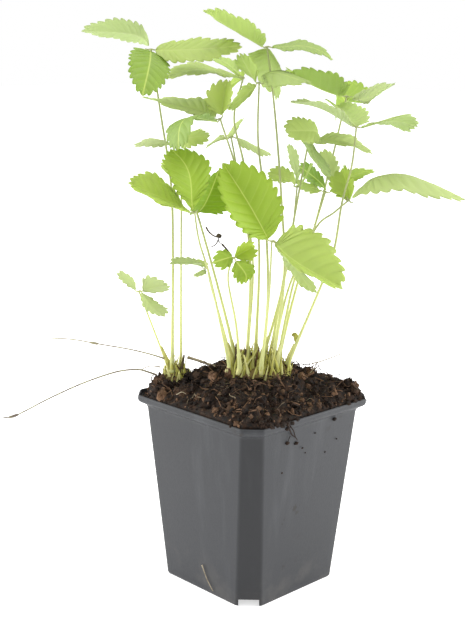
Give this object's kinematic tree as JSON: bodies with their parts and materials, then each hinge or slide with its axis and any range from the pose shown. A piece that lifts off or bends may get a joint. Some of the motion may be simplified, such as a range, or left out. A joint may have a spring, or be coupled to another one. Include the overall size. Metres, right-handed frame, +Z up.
{
  "type": "potted strawberry plant",
  "caption": "Young strawberry plant with three-part serrated leaves on thin stalks and bare runners, growing in peat in a square tapered nursery pot.",
  "frame": {"origin": "centre of the pot's underside, on the surface it stands on", "axes": "+Z up; the pot's square sides lie along X and Y; the corner between the +X and -Y sides faces the viewer, and the long runner trails out over the -X, -Y corner"},
  "size_m": [0.1684, 0.1828, 0.288],
  "materials": {
    "pot_plastic": "satin",
    "peat": "matte",
    "crown_flesh": "satin",
    "leaf_green": "satin",
    "stalk_green": "satin",
    "runner_pale": "matte",
    "straw": "matte"
  },
  "bodies": {
    "root": {"crown_main": "crown_flesh", "crown_side": "crown_flesh", "fibre_left": "straw", "fibre_right": "straw", "leaf_a": "leaf_green", "leaf_b": "leaf_green", "leaf_c": "leaf_green", "leaf_d": "leaf_green", "leaf_e": "leaf_green", "leaf_f": "leaf_green", "leaf_g": "leaf_green", "leaf_h": "leaf_green", "leaf_i": "leaf_green", "leaf_j": "leaf_green", "leaf_k": "leaf_green", "leaf_m": "leaf_green", "leaf_n": "leaf_green", "leaf_o": "leaf_green", "leaf_p": "leaf_green", "leaf_q": "leaf_green", "leaf_r": "leaf_green", "leaf_s": "leaf_green", "leaf_t": "leaf_green", "pot": "pot_plastic", "runner_high": "runner_pale", "runner_long": "runner_pale", "soil": "peat", "stalk_a": "stalk_green", "stalk_b": "stalk_green", "stalk_c": "stalk_green", "stalk_d": "stalk_green", "stalk_e": "stalk_green", "stalk_f": "stalk_green", "stalk_g": "stalk_green", "stalk_h": "stalk_green", "stalk_i": "stalk_green", "stalk_j": "stalk_green", "stalk_k": "stalk_green", "stalk_m": "stalk_green", "stalk_n": "stalk_green", "stalk_o": "stalk_green", "stalk_p": "stalk_green", "stalk_q": "stalk_green", "stalk_r": "stalk_green", "stalk_s": "stalk_green", "stalk_t": "stalk_green", "straw_on_wall": "straw", "twig_on_soil": "straw"}
  },
  "joints": []
}
